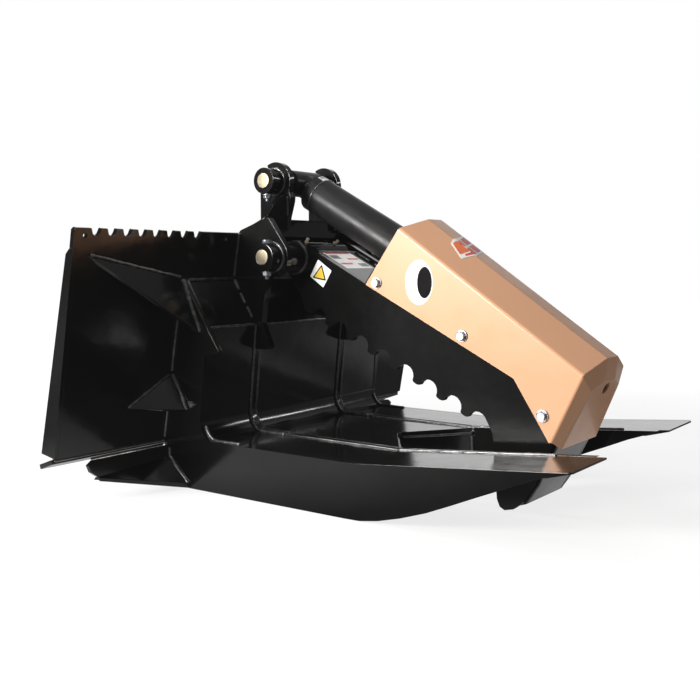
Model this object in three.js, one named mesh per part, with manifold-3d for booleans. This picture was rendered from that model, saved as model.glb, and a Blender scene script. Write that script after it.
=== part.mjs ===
// Tree and post puller for a skid steer: quick-attach plate, two tapered forks with a V notch,
// one serrated jaw arm under a folded cover, and the cylinder that drives it.
// Millimetres. +X runs forward to the fork tips, +Y to the far side, +Z up.
// Shapes are drawn from the lower front edge of the mounting plate and moved to the frame at the end.
import * as THREE from 'three';
import { mergeVertices } from 'three/addons/utils/BufferGeometryUtils.js';
import { ConvexHull } from 'three/addons/math/ConvexHull.js';
import Module from 'manifold-3d';

const wasm = await Module();
wasm.setup();

// ---------------------------------------------------------------- driving dimensions
const GROUND = 94; // height of the plate's lower edge above the ground
const REAR_X = -50; // rearmost point, on the lower lip
const TIP_X = 888; // fork tips
const GAP = 0.3; // gap between parts that touch
const HALF_WIDTH = 578; // half the mounting plate
const PLATE_LEAN = 10.2 * Math.PI / 180;
const PLATE_LENGTH = 430;
const PLATE_T = 9;
const FLANGE_T = 8;
const FLANGE_TOP = 392; // height of the side flanges, measured up the plate
const NOTCH_COUNT = 8;
const NOTCH_FIRST = 529;
const NOTCH_PITCH = 36;
const NOTCH_DEPTH = 13;
const OUTER_RIB_Y = 307; // outer face of the outer keels
const OUTER_RIB_T = 12;
const INNER_RIB_Y = 157; // outer face of the inner keels
const INNER_RIB_T = 15;
const FLOOR_Z = 8; // top of the floor
const FLOOR_BREAK_X = 480; // crease between floor and forks
const TIP_Z = 44; // top of the fork tips
const SHEET_T = 12;
const TIP_BEVEL = 45; // length of the bevel under the fork tips
const LOWER_PIN = [170, 372];
const UPPER_PIN = [119, 532];
const PIN_R = 16;
const LOWER_PIN_HALF = 193;
const UPPER_PIN_NEAR = 129;
const UPPER_PIN_FAR = 104;
const EAR_R = 39;
const UPPER_EAR_Y = 90; // outer face of the upper ears
const UPPER_EAR_T = 15;
const UPPER_HEAD_R = 41;
const ARM_Y = 88; // outer face of the arm's side plates
const ARM_T = 12;
const COVER_Y = 96;
const COVER_T = 4;
const COVER_TOP_Y = 25;
const BARREL_R = 40;
const BARREL_LENGTH = 318; // upper pin to the end of the gland
const CYLINDER_DROP = 28.5 * Math.PI / 180;
const CYLINDER_LENGTH = 470; // upper pin to rod-end pin, jaw closed
const ROD_R = 20;
const ROD_PIN_R = 14;
const EYE_NECK = 40; // rod-end pin to the start of the eye's neck
const ROD_EYE_PLAY = 7.5; // clearance that the open pivot needs

const ROD_PIN = [
  UPPER_PIN[0] + CYLINDER_LENGTH * Math.cos(CYLINDER_DROP),
  UPPER_PIN[1] - CYLINDER_LENGTH * Math.sin(CYLINDER_DROP),
];
const NEAR = -1;
const FAR = 1;
const SIDES = [['near', NEAR], ['far', FAR]];

// ---------------------------------------------------------------- materials
function material(name, color, roughness, metalness) {
  return new THREE.MeshStandardMaterial({ name, color, roughness, metalness });
}
const BLACK = material('black_paint', 0x1b1b1d, 0.22, 0.0);
const TAN = material('tan_paint', 0xc79a5f, 0.38, 0.0);
const ZINC = material('zinc', 0xb9bcc0, 0.35, 1.0);
const PIN_STEEL = material('pin_steel', 0xc9bf9a, 0.38, 1.0);
const CHROME = material('rod_chrome', 0xd8dade, 0.08, 1.0);
const BRASS = material('brass', 0xb59a55, 0.35, 1.0);

// ---------------------------------------------------------------- solids
function clean(geometry) {
  const copy = geometry.index ? geometry.clone() : geometry;
  copy.deleteAttribute('normal');
  copy.deleteAttribute('uv');
  return mergeVertices(copy, 1e-4);
}

function solid(geometry) {
  const closed = clean(geometry);
  const vertProperties = new Float32Array(closed.getAttribute('position').array);
  const triVerts = new Uint32Array(closed.index.array);
  return new wasm.Manifold(new wasm.Mesh({ numProp: 3, vertProperties, triVerts }));
}

function geometryOf(body) {
  const mesh = body.getMesh();
  const geometry = new THREE.BufferGeometry();
  const positions = new Float32Array(mesh.numVert * 3);
  for (let i = 0; i < mesh.numVert; i += 1) {
    for (let k = 0; k < 3; k += 1) {
      positions[3 * i + k] = mesh.vertProperties[mesh.numProp * i + k];
    }
  }
  geometry.setAttribute('position', new THREE.BufferAttribute(positions, 3));
  geometry.setIndex(new THREE.BufferAttribute(new Uint32Array(mesh.triVerts), 1));
  return geometry;
}

function shapeOf(points) {
  return new THREE.Shape(points.map(([x, y]) => new THREE.Vector2(x, y)));
}

function circle(cx, cy, r, segments = 28) {
  const points = [];
  for (let i = 0; i < segments; i += 1) {
    const a = 2 * Math.PI * i / segments;
    points.push([cx + r * Math.cos(a), cy + r * Math.sin(a)]);
  }
  return points;
}

function arc(cx, cy, r, from, to, segments) {
  const points = [];
  for (let i = 0; i <= segments; i += 1) {
    const a = (from + (to - from) * i / segments) * Math.PI / 180;
    points.push([cx + r * Math.cos(a), cy + r * Math.sin(a)]);
  }
  return points;
}

// Extrudes a drawing lying on origin + a*u + b*v by depth along u x v.
function slab(points, holes, origin, u, v, depth) {
  const ux = new THREE.Vector3(...u).normalize();
  const n = ux.clone().cross(new THREE.Vector3(...v)).normalize();
  const vy = n.clone().cross(ux);
  const basis = new THREE.Matrix4().makeBasis(ux, vy, n);
  basis.setPosition(new THREE.Vector3(...origin));
  const extrude = (drawing, from, to) => {
    const geometry = new THREE.ExtrudeGeometry(shapeOf(drawing), {
      depth: to - from, bevelEnabled: false, steps: 1,
    });
    geometry.translate(0, 0, from);
    geometry.applyMatrix4(basis);
    return solid(geometry);
  };
  let body = extrude(points, 0, depth);
  for (const hole of holes) {
    body = body.subtract(extrude(hole, -5, depth + 5));
  }
  return body;
}

// A drawing in X and Z, extruded from y0 up to y1.
function profile(points, y0, y1, holes = []) {
  return slab(points, holes, [0, y1, 0], [1, 0, 0], [0, 0, 1], y1 - y0);
}

// A plate on one side: the drawing is in X and Z, the outer face is at |y| = outer.
function sidePlate(points, side, outer, thickness, holes = []) {
  const a = side * outer;
  const b = side * (outer - thickness);
  return profile(points, Math.min(a, b), Math.max(a, b), holes);
}

function rod3(from, to, radius, segments = 28) {
  const a = new THREE.Vector3(...from);
  const b = new THREE.Vector3(...to);
  const geometry = new THREE.CylinderGeometry(radius, radius, a.distanceTo(b), segments);
  const q = new THREE.Quaternion().setFromUnitVectors(
    new THREE.Vector3(0, 1, 0), b.clone().sub(a).normalize());
  geometry.applyQuaternion(q);
  const mid = a.clone().add(b).multiplyScalar(0.5);
  geometry.translate(mid.x, mid.y, mid.z);
  return solid(geometry);
}

function crossRod([x, z], y0, y1, radius, segments = 28) {
  return rod3([x, y0, z], [x, y1, z], radius, segments);
}

function hull(points) {
  const built = new ConvexHull().setFromPoints(points.map((p) => new THREE.Vector3(...p)));
  const positions = [];
  for (const face of built.faces) {
    let edge = face.edge;
    do {
      const p = edge.head().point;
      positions.push(p.x, p.y, p.z);
      edge = edge.next;
    } while (edge !== face.edge);
  }
  const geometry = new THREE.BufferGeometry();
  geometry.setAttribute('position', new THREE.Float32BufferAttribute(positions, 3));
  return solid(geometry);
}

// ---------------------------------------------------------------- shared lines
// Point on the mounting plate: v up along the plate, off forward of its front face.
function onPlate(v, off = 0) {
  return [
    v * Math.sin(PLATE_LEAN) + off * Math.cos(PLATE_LEAN),
    v * Math.cos(PLATE_LEAN) - off * Math.sin(PLATE_LEAN),
  ];
}

function plateX(z) {
  return z * Math.tan(PLATE_LEAN) + GAP;
}

const BEND = [[103, 48], [105.5, 36], [110, 25], [117, 16], [125, 10.5], [135, FLOOR_Z]];
const WALL_TOP = [121, 232];

function mirrored(build) {
  return SIDES.map(([name, side]) => [name, build(side)]);
}

function span(side, inner, outer) {
  return side < 0 ? [-outer, -inner] : [inner, outer];
}

const parts = [];
function part(name, body, look) {
  parts.push([name, body, look]);
}

// ---------------------------------------------------------------- mounting plate
function notchOutline(y) {
  const top = PLATE_LENGTH;
  const low = top - NOTCH_DEPTH;
  return [
    [y - 11, top], [y - 9.5, top - 4], [y - 7, low + 2.5], [y - 3.5, low],
    [y + 3.5, low], [y + 7, low + 2.5], [y + 9.5, top - 4], [y + 11, top],
  ];
}

function mountingPlate() {
  const inner = HALF_WIDTH - FLANGE_T - GAP;
  const step = FLANGE_TOP + GAP;
  const outline = [[-inner, 0], [inner, 0], [inner, step], [HALF_WIDTH, step]];
  outline.push([HALF_WIDTH, PLATE_LENGTH - 4], [HALF_WIDTH - 4, PLATE_LENGTH]);
  const centres = [];
  for (let i = 0; i < NOTCH_COUNT; i += 1) {
    centres.push(NOTCH_FIRST - i * NOTCH_PITCH);
  }
  for (const y of centres) {
    outline.push(...notchOutline(y).reverse());
  }
  for (const y of centres.slice().reverse()) {
    outline.push(...notchOutline(-y).reverse());
  }
  outline.push([-HALF_WIDTH + 4, PLATE_LENGTH], [-HALF_WIDTH, PLATE_LENGTH - 4]);
  outline.push([-HALF_WIDTH, step], [-inner, step]);
  const holes = [];
  for (const y of [-553, -193, 193, 553]) {
    holes.push(circle(y, 416, 4.5, 16));
  }
  const up = [Math.sin(PLATE_LEAN), 0, Math.cos(PLATE_LEAN)];
  const [x, z] = onPlate(0, -PLATE_T);
  return slab(outline, holes, [x, 0, z], [0, 1, 0], up, PLATE_T);
}

function sideFlange(side) {
  const points = [onPlate(2, 0), onPlate(2, -38), onPlate(60, -35)];
  points.push(onPlate(FLANGE_TOP - 12, -18), onPlate(FLANGE_TOP, -PLATE_T), onPlate(FLANGE_TOP, 0));
  return sidePlate(points, side, HALF_WIDTH, FLANGE_T);
}

function lowerLip() {
  const angle = 20 * Math.PI / 180;
  const back = [-Math.cos(angle), 0, -Math.sin(angle)];
  const start = [-1.2, 0, -0.8];
  const length = 44;
  const outline = [[-HALF_WIDTH, 0], [HALF_WIDTH, 0], [HALF_WIDTH, length - 6]];
  outline.push([HALF_WIDTH - 6, length], [-HALF_WIDTH + 6, length], [-HALF_WIDTH, length - 6]);
  const slots = [];
  for (const s of [-1, 1]) {
    slots.push([[s * 345, 10], [s * 425, 10], [s * 425, 32], [s * 345, 32]]);
  }
  const raw = slab(outline, slots, start, [0, 1, 0], back, PLATE_T);
  const geometry = geometryOf(raw);
  geometry.computeBoundingBox();
  const box = geometry.boundingBox;
  return raw.translate([REAR_X - box.min.x, 0, -GAP - box.max.z]);
}

part('mounting_plate', mountingPlate(), BLACK);
for (const [name, body] of mirrored(sideFlange)) {
  part(`side_flange_${name}`, body, BLACK);
}
part('lower_lip', lowerLip(), BLACK);

// ---------------------------------------------------------------- keels, ears and sheets
const KEEL_BOTTOM = [
  [879, 40.5], [850, 33], [814, 20], [771, 1], [726, -18], [680, -38], [632, -58], [581, -75], [535, -87],
  [495, -94 + 0.6], [460, -94], [70, -94], [44, -88], [24, -74], [10, -52], [3, -24],
];

function outerRib(side) {
  const points = [[plateX(0), 0], [plateX(330), 330], [157, 190], [152, 184], [119, 181]];
  points.push(...BEND, [FLOOR_BREAK_X, FLOOR_Z], [TIP_X - 3, TIP_Z - 0.3], ...KEEL_BOTTOM);
  return sidePlate(points, side, OUTER_RIB_Y, OUTER_RIB_T);
}

function innerRib(side) {
  const [px, pz] = LOWER_PIN;
  const points = [[plateX(0), 0], [plateX(425), 425], [81, 429], [154, 454], [158, 453]];
  points.push(...arc(px, pz, EAR_R, 37, -104, 14));
  points.push([150, 305], [144, 284], [138, 236], [160, 188], [155, 182], [119, 181]);
  points.push([103, 60], [106.5, 41], [114, 28], [125, 17.5], [141, 10.5], [FLOOR_BREAK_X, 9.5]);
  points.push([TIP_X - 18, TIP_Z - 1.5], ...KEEL_BOTTOM.slice(1));
  return sidePlate(points, side, INNER_RIB_Y, INNER_RIB_T, [circle(px, pz, PIN_R + GAP, 28)]);
}

function sheetProfile(frontX) {
  const slope = (TIP_Z - FLOOR_Z) / (TIP_X - FLOOR_BREAK_X);
  const top = [[114, 160], ...BEND];
  const low = top.map(([x, z], i) => {
    const t = i / (top.length - 1);
    const a = (5.5 + t * 84.5) * Math.PI / 180;
    return [x - SHEET_T * Math.cos(a), z - SHEET_T * Math.sin(a)];
  });
  const outline = [WALL_TOP, ...top];
  if (frontX > FLOOR_BREAK_X) {
    const frontZ = FLOOR_Z + slope * (frontX - FLOOR_BREAK_X);
    const bevelX = frontX - TIP_BEVEL;
    const bevelZ = frontZ - SHEET_T - slope * TIP_BEVEL;
    outline.push([FLOOR_BREAK_X, FLOOR_Z], [frontX, frontZ], [frontX, frontZ - 3.5]);
    outline.push([bevelX, bevelZ], [FLOOR_BREAK_X, FLOOR_Z - SHEET_T]);
  } else {
    outline.push([frontX, FLOOR_Z], [frontX, FLOOR_Z - SHEET_T]);
  }
  outline.push(...low.reverse(), [WALL_TOP[0] - SHEET_T, WALL_TOP[1] - 8.5]);
  return outline;
}

function forkSheet(side) {
  const [y0, y1] = span(side, INNER_RIB_Y + GAP, OUTER_RIB_Y - OUTER_RIB_T - GAP);
  return profile(sheetProfile(TIP_X), y0, y1);
}

const CENTER_HALF = INNER_RIB_Y - INNER_RIB_T - GAP;
const NOTCH_APEX_X = 382;
const NOTCH_LEG_X = 476;

function centerFloor() {
  const body = profile(sheetProfile(FLOOR_BREAK_X - 2), -CENTER_HALF, CENTER_HALF);
  const reach = CENTER_HALF + 20;
  const legX = NOTCH_APEX_X + (NOTCH_LEG_X - NOTCH_APEX_X) * reach / CENTER_HALF;
  const notch = [[NOTCH_APEX_X - 4, -7], [legX - 4, -reach], [600, -reach]];
  notch.push([600, reach], [legX - 4, reach], [NOTCH_APEX_X - 4, 7]);
  return body.subtract(slab(notch, [], [0, 0, -40], [1, 0, 0], [0, 1, 0], 80));
}

function vNotchWall() {
  const back = 16;
  const half = CENTER_HALF - GAP;
  const outline = [[NOTCH_APEX_X - 4, 0], [NOTCH_LEG_X - 3, -half], [NOTCH_LEG_X - 3 - back, -half]];
  outline.push([NOTCH_APEX_X - 4 - back, -7], [NOTCH_APEX_X - 4 - back, 7]);
  outline.push([NOTCH_LEG_X - 3 - back, half], [NOTCH_LEG_X - 3, half]);
  const top = FLOOR_Z - SHEET_T - GAP;
  return slab(outline, [], [0, 0, -88], [1, 0, 0], [0, 1, 0], 88 + top);
}

function diagonalPanel(y0, y1) {
  const top = [plateX(327) + 1, 327];
  const low = [WALL_TOP[0], WALL_TOP[1] + 0.6];
  const points = [top, low, [low[0] - 9.5, low[1] - 6.3], [plateX(308) + 1, 308]];
  return profile(points, y0, y1);
}

for (const [name, body] of mirrored(outerRib)) {
  part(`outer_rib_${name}`, body, BLACK);
}
for (const [name, body] of mirrored(innerRib)) {
  part(`inner_rib_${name}`, body, BLACK);
}
for (const [name, body] of mirrored(forkSheet)) {
  part(`fork_sheet_${name}`, body, BLACK);
}
part('center_floor', centerFloor(), BLACK);
part('v_notch_wall', vNotchWall(), BLACK);
part('diagonal_panel_center', diagonalPanel(-CENTER_HALF, CENTER_HALF), BLACK);
for (const [name, side] of SIDES) {
  const [y0, y1] = span(side, INNER_RIB_Y + GAP, OUTER_RIB_Y - OUTER_RIB_T - GAP);
  part(`diagonal_panel_${name}`, diagonalPanel(y0, y1), BLACK);
}

// ---------------------------------------------------------------- gussets and heels
// A triangular plate through three corners, thickened away from the side it is seen from.
function triangle(a, b, c, thickness) {
  const pa = new THREE.Vector3(...a);
  const pb = new THREE.Vector3(...b);
  const pc = new THREE.Vector3(...c);
  const n = pb.clone().sub(pa).cross(pc.clone().sub(pa)).normalize();
  if (n.x < 0) {
    n.negate();
  }
  const shift = n.multiplyScalar(-thickness);
  const points = [];
  for (const p of [pa, pb, pc]) {
    points.push(p.toArray(), p.clone().add(shift).toArray());
  }
  return hull(points);
}

// Cuts away what would reach into the plate or the outer keel.
function clearOfPlateAndKeel(body, side) {
  const up = [Math.sin(PLATE_LEAN), 0, Math.cos(PLATE_LEAN)];
  const [x, z] = onPlate(-200, -200 + GAP);
  const plate = slab(
    [[-700, 0], [700, 0], [700, 800], [-700, 800]], [], [x, 0, z], [0, 1, 0], up, 200);
  const limit = OUTER_RIB_Y + GAP;
  const [y0, y1] = side < 0 ? [-limit, 0] : [0, limit];
  const keel = profile([[-300, -200], [900, -200], [900, 700], [-300, 700]], y0, y1);
  return body.subtract(plate).subtract(keel);
}

function upperGusset(side) {
  const body = triangle(
    [69, side * 545, 376], [61, side * 306, 331], [110, side * 306, 224], 9);
  return clearOfPlateAndKeel(body, side);
}

function lowerGusset(side) {
  const body = triangle(
    [26, side * 306, 138], [15, side * 418, 77], [71, side * 306, 66], 9);
  return clearOfPlateAndKeel(body, side);
}

function heelBracket(side) {
  const s = side;
  const wall = [[306, -12], [500, -12], [512, -20], [506, -34], [492, -44], [470, -50], [306, -86]];
  const limit = OUTER_RIB_Y + GAP;
  const outline = wall.map(([y, z]) => [s * y, z]);
  if (s > 0) {
    outline.reverse();
  }
  const upright = slab(outline, [], [6, 0, 0], [0, 1, 0], [0, 0, 1], 9);
  const floor = triangle([14, s * 496, -44], [72, s * 306, -84], [14, s * 306, -34], 8);
  const foot = hull([
    [8, s * 480, -44], [8, s * 480, -54], [72, s * 306, -84], [72, s * 306, -93.5],
    [14, s * 306, -84], [14, s * 306, -93.5], [20, s * 492, -46], [20, s * 492, -52],
  ]);
  const keel = profile([[-300, -200], [900, -200], [900, 700], [-300, 700]],
    s < 0 ? -limit : 0, s < 0 ? 0 : limit);
  return upright.add(floor).add(foot).subtract(keel);
}

for (const [name, body] of mirrored(upperGusset)) {
  part(`upper_gusset_${name}`, body, BLACK);
}
for (const [name, body] of mirrored(lowerGusset)) {
  part(`lower_gusset_${name}`, body, BLACK);
}
for (const [name, body] of mirrored(heelBracket)) {
  part(`heel_bracket_${name}`, body, BLACK);
}

// ---------------------------------------------------------------- ears, bosses and pins
const BEAM_FRONT_X = 142;

function crossBeam() {
  const points = [[81, 418], [83, 428.5], [BEAM_FRONT_X - 5, 453], [BEAM_FRONT_X, 450]];
  points.push([BEAM_FRONT_X, 416], [BEAM_FRONT_X - 10, 416], [BEAM_FRONT_X - 10, 440]);
  return profile(points, -CENTER_HALF, CENTER_HALF);
}

function upperEar(side) {
  const [px, pz] = UPPER_PIN;
  const points = [[78, 427.5], [83, 429.2], [BEAM_FRONT_X - 5, 453.7]];
  points.push([BEAM_FRONT_X + 0.4, 451], [BEAM_FRONT_X + 0.4, 432], [150, 432]);
  points.push([152, 455], [162, 488], [163, 499], [158, 508]);
  points.push(...arc(px, pz, UPPER_HEAD_R, -14, 180, 20));
  const body = sidePlate(points, side, UPPER_EAR_Y, UPPER_EAR_T, [circle(px, pz, PIN_R + GAP)]);
  const bite = crossRod([86, 559], -100, 100, 14, 20);
  return body.subtract(bite);
}

function earGusset(side) {
  const inner = UPPER_EAR_Y + GAP;
  const drawn = [[inner, 428], [CENTER_HALF - GAP, 428], [CENTER_HALF - GAP, 455.5], [155, 455.5]];
  drawn.push([149, 464], [141, 474], [131, 484], [119, 494], [105, 501], [inner, 505]);
  const outline = drawn.map(([y, z]) => [side * y, z]);
  if (side > 0) {
    outline.reverse();
  }
  return slab(outline, [], [BEAM_FRONT_X + 0.4, 0, 0], [0, 1, 0], [0, 0, 1], 11);
}

// A boss on the outer face of an ear, bored for the pin and drilled for the cross bolt.
function boss(pin, side, inner, outer, radius, boltY) {
  const [y0, y1] = span(side, inner, outer);
  const tube = crossRod(pin, y0, y1, radius, 32);
  const bore = crossRod(pin, y0 - 5, y1 + 5, PIN_R + GAP, 28);
  const [x, z] = pin;
  const drill = rod3([x, side * boltY, z - 60], [x, side * boltY, z + 60], 5.4, 16);
  return tube.subtract(bore).subtract(drill);
}

// A pin from y0 to y1, drilled across at each bolt.
function pinBody(pin, y0, y1, bolts) {
  const [x, z] = pin;
  let body = crossRod(pin, y0, y1, PIN_R, 28);
  for (const y of bolts) {
    body = body.subtract(rod3([x, y, z - 60], [x, y, z + 60], 5.4, 16));
  }
  return body;
}

// A cross bolt with its nut: head above, nut and thread end below. A blind one has no head above.
function pinBolt(pin, y, bossR, blind) {
  const [x, z] = pin;
  const seat = bossR + 0.6;
  const top = blind ? z + seat - 6 : z + seat + 2;
  const shank = rod3([x, y, z - seat - 16], [x, y, top], 5, 16);
  const nut = rod3([x, y, z - seat - 9], [x, y, z - seat], 9.2, 6);
  const body = shank.add(nut);
  return blind ? body : body.add(rod3([x, y, z + seat], [x, y, z + seat + 7], 9.2, 6));
}

const LOWER_BOSS_R = 28.5;
const UPPER_BOSS_R = 27;
const LOWER_BOLT_Y = 176;
const UPPER_BOLT_Y = 114;

part('cross_beam', crossBeam(), BLACK);
for (const [name, side] of SIDES) {
  part(`upper_ear_${name}`, upperEar(side), BLACK);
  part(`ear_gusset_${name}`, earGusset(side), BLACK);
  part(`lower_boss_${name}`,
    boss(LOWER_PIN, side, INNER_RIB_Y + GAP, 191, LOWER_BOSS_R, LOWER_BOLT_Y), BLACK);
  part(`lower_pin_bolt_${name}`,
    pinBolt(LOWER_PIN, side * LOWER_BOLT_Y, LOWER_BOSS_R, false), ZINC);
}
part('upper_boss_near',
  boss(UPPER_PIN, NEAR, UPPER_EAR_Y + GAP, 127, UPPER_BOSS_R, UPPER_BOLT_Y), BLACK);
part('upper_boss_far',
  boss(UPPER_PIN, FAR, UPPER_EAR_Y + GAP, 101, UPPER_BOSS_R, 400), BLACK);
part('upper_pin_bolt', pinBolt(UPPER_PIN, NEAR * UPPER_BOLT_Y, UPPER_BOSS_R, true), ZINC);
part('lower_pin',
  pinBody(LOWER_PIN, -LOWER_PIN_HALF, LOWER_PIN_HALF, [-LOWER_BOLT_Y, LOWER_BOLT_Y]), PIN_STEEL);
part('upper_pin',
  pinBody(UPPER_PIN, -UPPER_PIN_NEAR, UPPER_PIN_FAR, [NEAR * UPPER_BOLT_Y]), PIN_STEEL);

// ---------------------------------------------------------------- jaw arm
const TOOTH_FIRST = [208.7, 258.5];
const TOOTH_LAST = [638.1, 49.8];
const SCALLOPS = 8;
const SCALLOP_R = 20.7;
const SCALLOP_START = 26; // from a tooth to the middle of the scallop in front of it
const TOOTH_TIP = [[50, -2], [56, -2.8], [61.5, -2]]; // rounded end of a tooth: along, rise
const ARM_TOP = [[356, 318], [683, 153]];
const UNDER_COVER = 42; // how far the side plates reach up under the cover
const COVER_BOLTS = [[386, 322], [579, 226], [744, 91]];

// The bite edge: round scallops between narrow tooth tips, from the pivot to the beak.
function biteEdge() {
  const points = [];
  const [x0, z0] = TOOTH_FIRST;
  const dx = (TOOTH_LAST[0] - x0) / SCALLOPS;
  const dz = (TOOTH_LAST[1] - z0) / SCALLOPS;
  const pitch = Math.hypot(dx, dz);
  const ux = dx / pitch;
  const uz = dz / pitch;
  const put = (along, rise) => points.push([x0 + ux * along - uz * rise, z0 + uz * along + ux * rise]);
  for (let i = 0; i < SCALLOPS; i += 1) {
    const last = i === SCALLOPS - 1;
    const steps = last ? 6 : 9; // the last scallop runs out into the beak
    for (let k = 0; k <= steps; k += 1) {
      const a = Math.PI * k / 9;
      put(i * pitch + SCALLOP_START - SCALLOP_R * Math.cos(a), SCALLOP_R * Math.sin(a));
    }
    if (!last) {
      for (const [along, rise] of TOOTH_TIP) {
        put(i * pitch + along, rise);
      }
    }
  }
  return points;
}

function armSide(side) {
  const [px, pz] = LOWER_PIN;
  const nx = 0.4505 * UNDER_COVER;
  const nz = 0.8928 * UNDER_COVER;
  const points = [...arc(px, pz, 37, 250, 64, 16), [352, 320]];
  points.push([372, 322 + 26], [ARM_TOP[1][0] + nx, ARM_TOP[1][1] + nz]);
  points.push([783, 95], [762, 44], [745, 8], [727, -38], [703, -76], [686, -89], [668, -93.4]);
  points.push([658, -88], [652, -74], [650, -50], [648, 0], [641, 48]);
  points.push(...biteEdge().reverse(), [204, 259], [198, 262], [194, 272], [190, 286]);
  points.push([180, 302], [168, 318]);
  const holes = [circle(px, pz, 33 + GAP, 32)];
  for (const [x, z] of COVER_BOLTS) {
    holes.push(circle(x, z, 5.4, 14));
  }
  return sidePlate(points, side, ARM_Y, ARM_T, holes);
}

function armTopPlate() {
  const half = ARM_Y - ARM_T - GAP;
  const drop = 7;
  const along = [327 / 366.3, -165 / 366.3];
  const start = [208.5, 392.2 - drop];
  const end = [start[0] + along[0] * 520, start[1] + along[1] * 520];
  const low = [-along[1] * -10, -along[0] * 10];
  const points = [start, end, [end[0] + low[0], end[1] + low[1]], [start[0] + low[0], start[1] + low[1]]];
  return profile(points, -half, half);
}

function pivotTube() {
  const half = CENTER_HALF - 0.7;
  return crossRod(LOWER_PIN, -half, half, 33, 32).subtract(
    crossRod(LOWER_PIN, -half - 5, half + 5, PIN_R + 0.4, 28));
}

// The blade that closes the front of the beak, with the flange under the cover's front.
function noseBlade() {
  const half = ARM_Y - ARM_T - GAP;
  const blade = [[770, 42], [749, 2], [731, -40], [706, -79], [686, -86], [684, -80], [697, -72]];
  blade.push([718, -37], [736, 6], [752, 34], [700, 34], [700, 43]);
  return profile(blade, -half, half);
}

function cylinderLug(side) {
  const [px, pz] = ROD_PIN;
  const base = (x) => 394 - 7 + GAP + 0.3 - (x - 205) * 165 / 327;
  const points = [...arc(px, pz, 27, -25, 165, 14), [px - 62, base(px - 62)], [px + 62, base(px + 62)]];
  points.splice(points.length - 2, 0, [px - 36, pz - 30]);
  return sidePlate(points, side, 40, 15, [circle(px, pz, ROD_PIN_R + GAP, 24)]);
}

part('pivot_tube', pivotTube(), BLACK);
part('arm_top_plate', armTopPlate(), BLACK);
part('nose_blade', noseBlade(), BLACK);
for (const [name, side] of SIDES) {
  part(`arm_side_${name}`, armSide(side), BLACK);
  part(`cylinder_lug_${name}`, cylinderLug(side), BLACK);
}
part('rod_end_pin', crossRod(ROD_PIN, -47, 47, ROD_PIN_R, 24), PIN_STEEL);

// ---------------------------------------------------------------- guard cover
const COVER_SIDE = { rearLow: [359, 318], rearTop: [437, 428], frontTop: [819, 168.5], frontLow: [761, 45] };
const COVER_MID = { rearTop: [461, 447], top: [834.5, 193.5] };
const COVER_BENDS = [[829, 25, 150], [822, 64, 137], [774.5, 80, 31.5]]; // folds of the front panel
const COVER_HOLE = [823, 136];
const COVER_FOOT = [[359, 318], [686, 153.5], [757, 43.5]];

function offsetLine(a, b, distance) {
  const dx = b[0] - a[0];
  const dz = b[1] - a[1];
  const length = Math.hypot(dx, dz);
  const nx = dz / length * distance;
  const nz = -dx / length * distance;
  return [[a[0] + nx, a[1] + nz], [b[0] + nx, b[1] + nz]];
}

function meet([a, b], [c, d]) {
  const r = [b[0] - a[0], b[1] - a[1]];
  const s = [d[0] - c[0], d[1] - c[1]];
  const t = ((c[0] - a[0]) * s[1] - (c[1] - a[1]) * s[0]) / (r[0] * s[1] - r[1] * s[0]);
  return [a[0] + r[0] * t, a[1] + r[1] * t];
}

// Runs a line of the outline on past its end, so that the hollow opens there.
function beyond(line, distance) {
  const [a, b] = line;
  const dx = a[0] - b[0];
  const dz = a[1] - b[1];
  const k = distance / Math.hypot(dx, dz);
  return [a[0] + dx * k, a[1] + dz * k];
}

// Both sides of a folded skin: points of the side face, of the top flat and of the front folds.
function coverHull(side, sideY, mid, midY, bends) {
  const points = [];
  for (const s of [-1, 1]) {
    for (const [x, z] of side) {
      points.push([x, s * sideY, z]);
    }
    for (const [x, z] of mid) {
      points.push([x, s * midY, z]);
    }
    for (const [x, y, z] of bends) {
      points.push([x, s * y, z]);
    }
  }
  return hull(points);
}

function guardCover() {
  const { rearLow, rearTop, frontTop, frontLow } = COVER_SIDE;
  const outer = coverHull([rearLow, rearTop, frontTop, frontLow], COVER_Y,
    [COVER_MID.rearTop, COVER_MID.top], COVER_TOP_Y, COVER_BENDS);
  const t = COVER_T;
  const sideTop = offsetLine(rearTop, frontTop, t);
  const sideFront = offsetLine(frontTop, frontLow, t);
  const midTop = offsetLine(COVER_MID.rearTop, COVER_MID.top, t);
  const inner = coverHull(
    [beyond(sideTop, 120), meet(sideTop, sideFront), beyond([sideFront[1], sideFront[0]], 60),
      [240, 330], [560, -60]], COVER_Y - t,
    [beyond(midTop, 120), [COVER_MID.top[0] - 4.2, COVER_MID.top[1] - 2]], COVER_TOP_Y - 1.5,
    [[824.9, 24, 151], [818.7, 61.5, 139], [746.8, 85.7, -21]]);
  const foot = profile([...COVER_FOOT, [757, -100], [200, -100], [200, 398.2]], -120, 120);
  let body = outer.subtract(inner).subtract(foot);
  for (const [x, z] of COVER_BOLTS) {
    body = body.subtract(crossRod([x, z], -130, 130, 5.6, 14));
  }
  const [x, z] = COVER_HOLE;
  return body.subtract(rod3([x - 36, 0, z + 17], [x + 36, 0, z - 17], 11.5, 24));
}

function coverBolt([x, z], side) {
  const face = COVER_Y + GAP;
  const shank = rod3([x, side * 70, z], [x, side * (face + 3), z], 5, 14);
  const washer = rod3([x, side * face, z], [x, side * (face + 2), z], 11.5, 24);
  const head = rod3([x, side * (face + 1), z], [x, side * (face + 8.5), z], 9.2, 6);
  return shank.add(washer).add(head);
}

part('guard_cover', guardCover(), TAN);
for (const [name, side] of SIDES) {
  COVER_BOLTS.forEach((spot, i) => {
    part(`cover_bolt_${name}_${i + 1}`, coverBolt(spot, side), ZINC);
  });
}

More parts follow.
